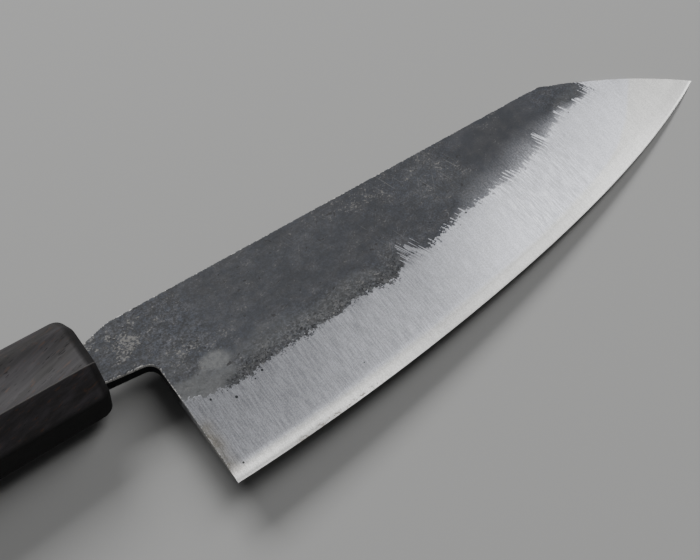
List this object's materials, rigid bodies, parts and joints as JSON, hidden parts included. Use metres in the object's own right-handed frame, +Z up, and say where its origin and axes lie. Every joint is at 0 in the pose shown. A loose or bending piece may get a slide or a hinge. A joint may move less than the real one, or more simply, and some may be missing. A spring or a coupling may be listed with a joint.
{
  "type": "bunka knife",
  "caption": "Kitchen knife with a clipped tip, dark forge-scaled blade, ground bevel, squared heel and an octagonal dark wooden handle, lying on its side.",
  "frame": {"origin": "on the surface that the knife lies on, under the middle of its box", "axes": "+X along the knife towards the tip, level; +Y towards the spine; +Z up, out of the face side of the blade"},
  "size_m": [0.3124, 0.0582, 0.0294],
  "materials": {
    "core_steel": "bright ground steel, fine scratches across the edge",
    "scaled_iron": "dark mottled forge scale above a satin ground bevel",
    "dark_wood": "fine lengthwise grain, satin oil",
    "pale_wood": "raw turned wood",
    "dark_seal": "smooth dark resin"
  },
  "bodies": {
    "root": {"core_steel": "core_steel", "face_cladding": "scaled_iron", "back_cladding": "scaled_iron", "handle_body": "dark_wood", "tang_dowel": "pale_wood", "tang_seal": "dark_seal"}
  },
  "joints": []
}
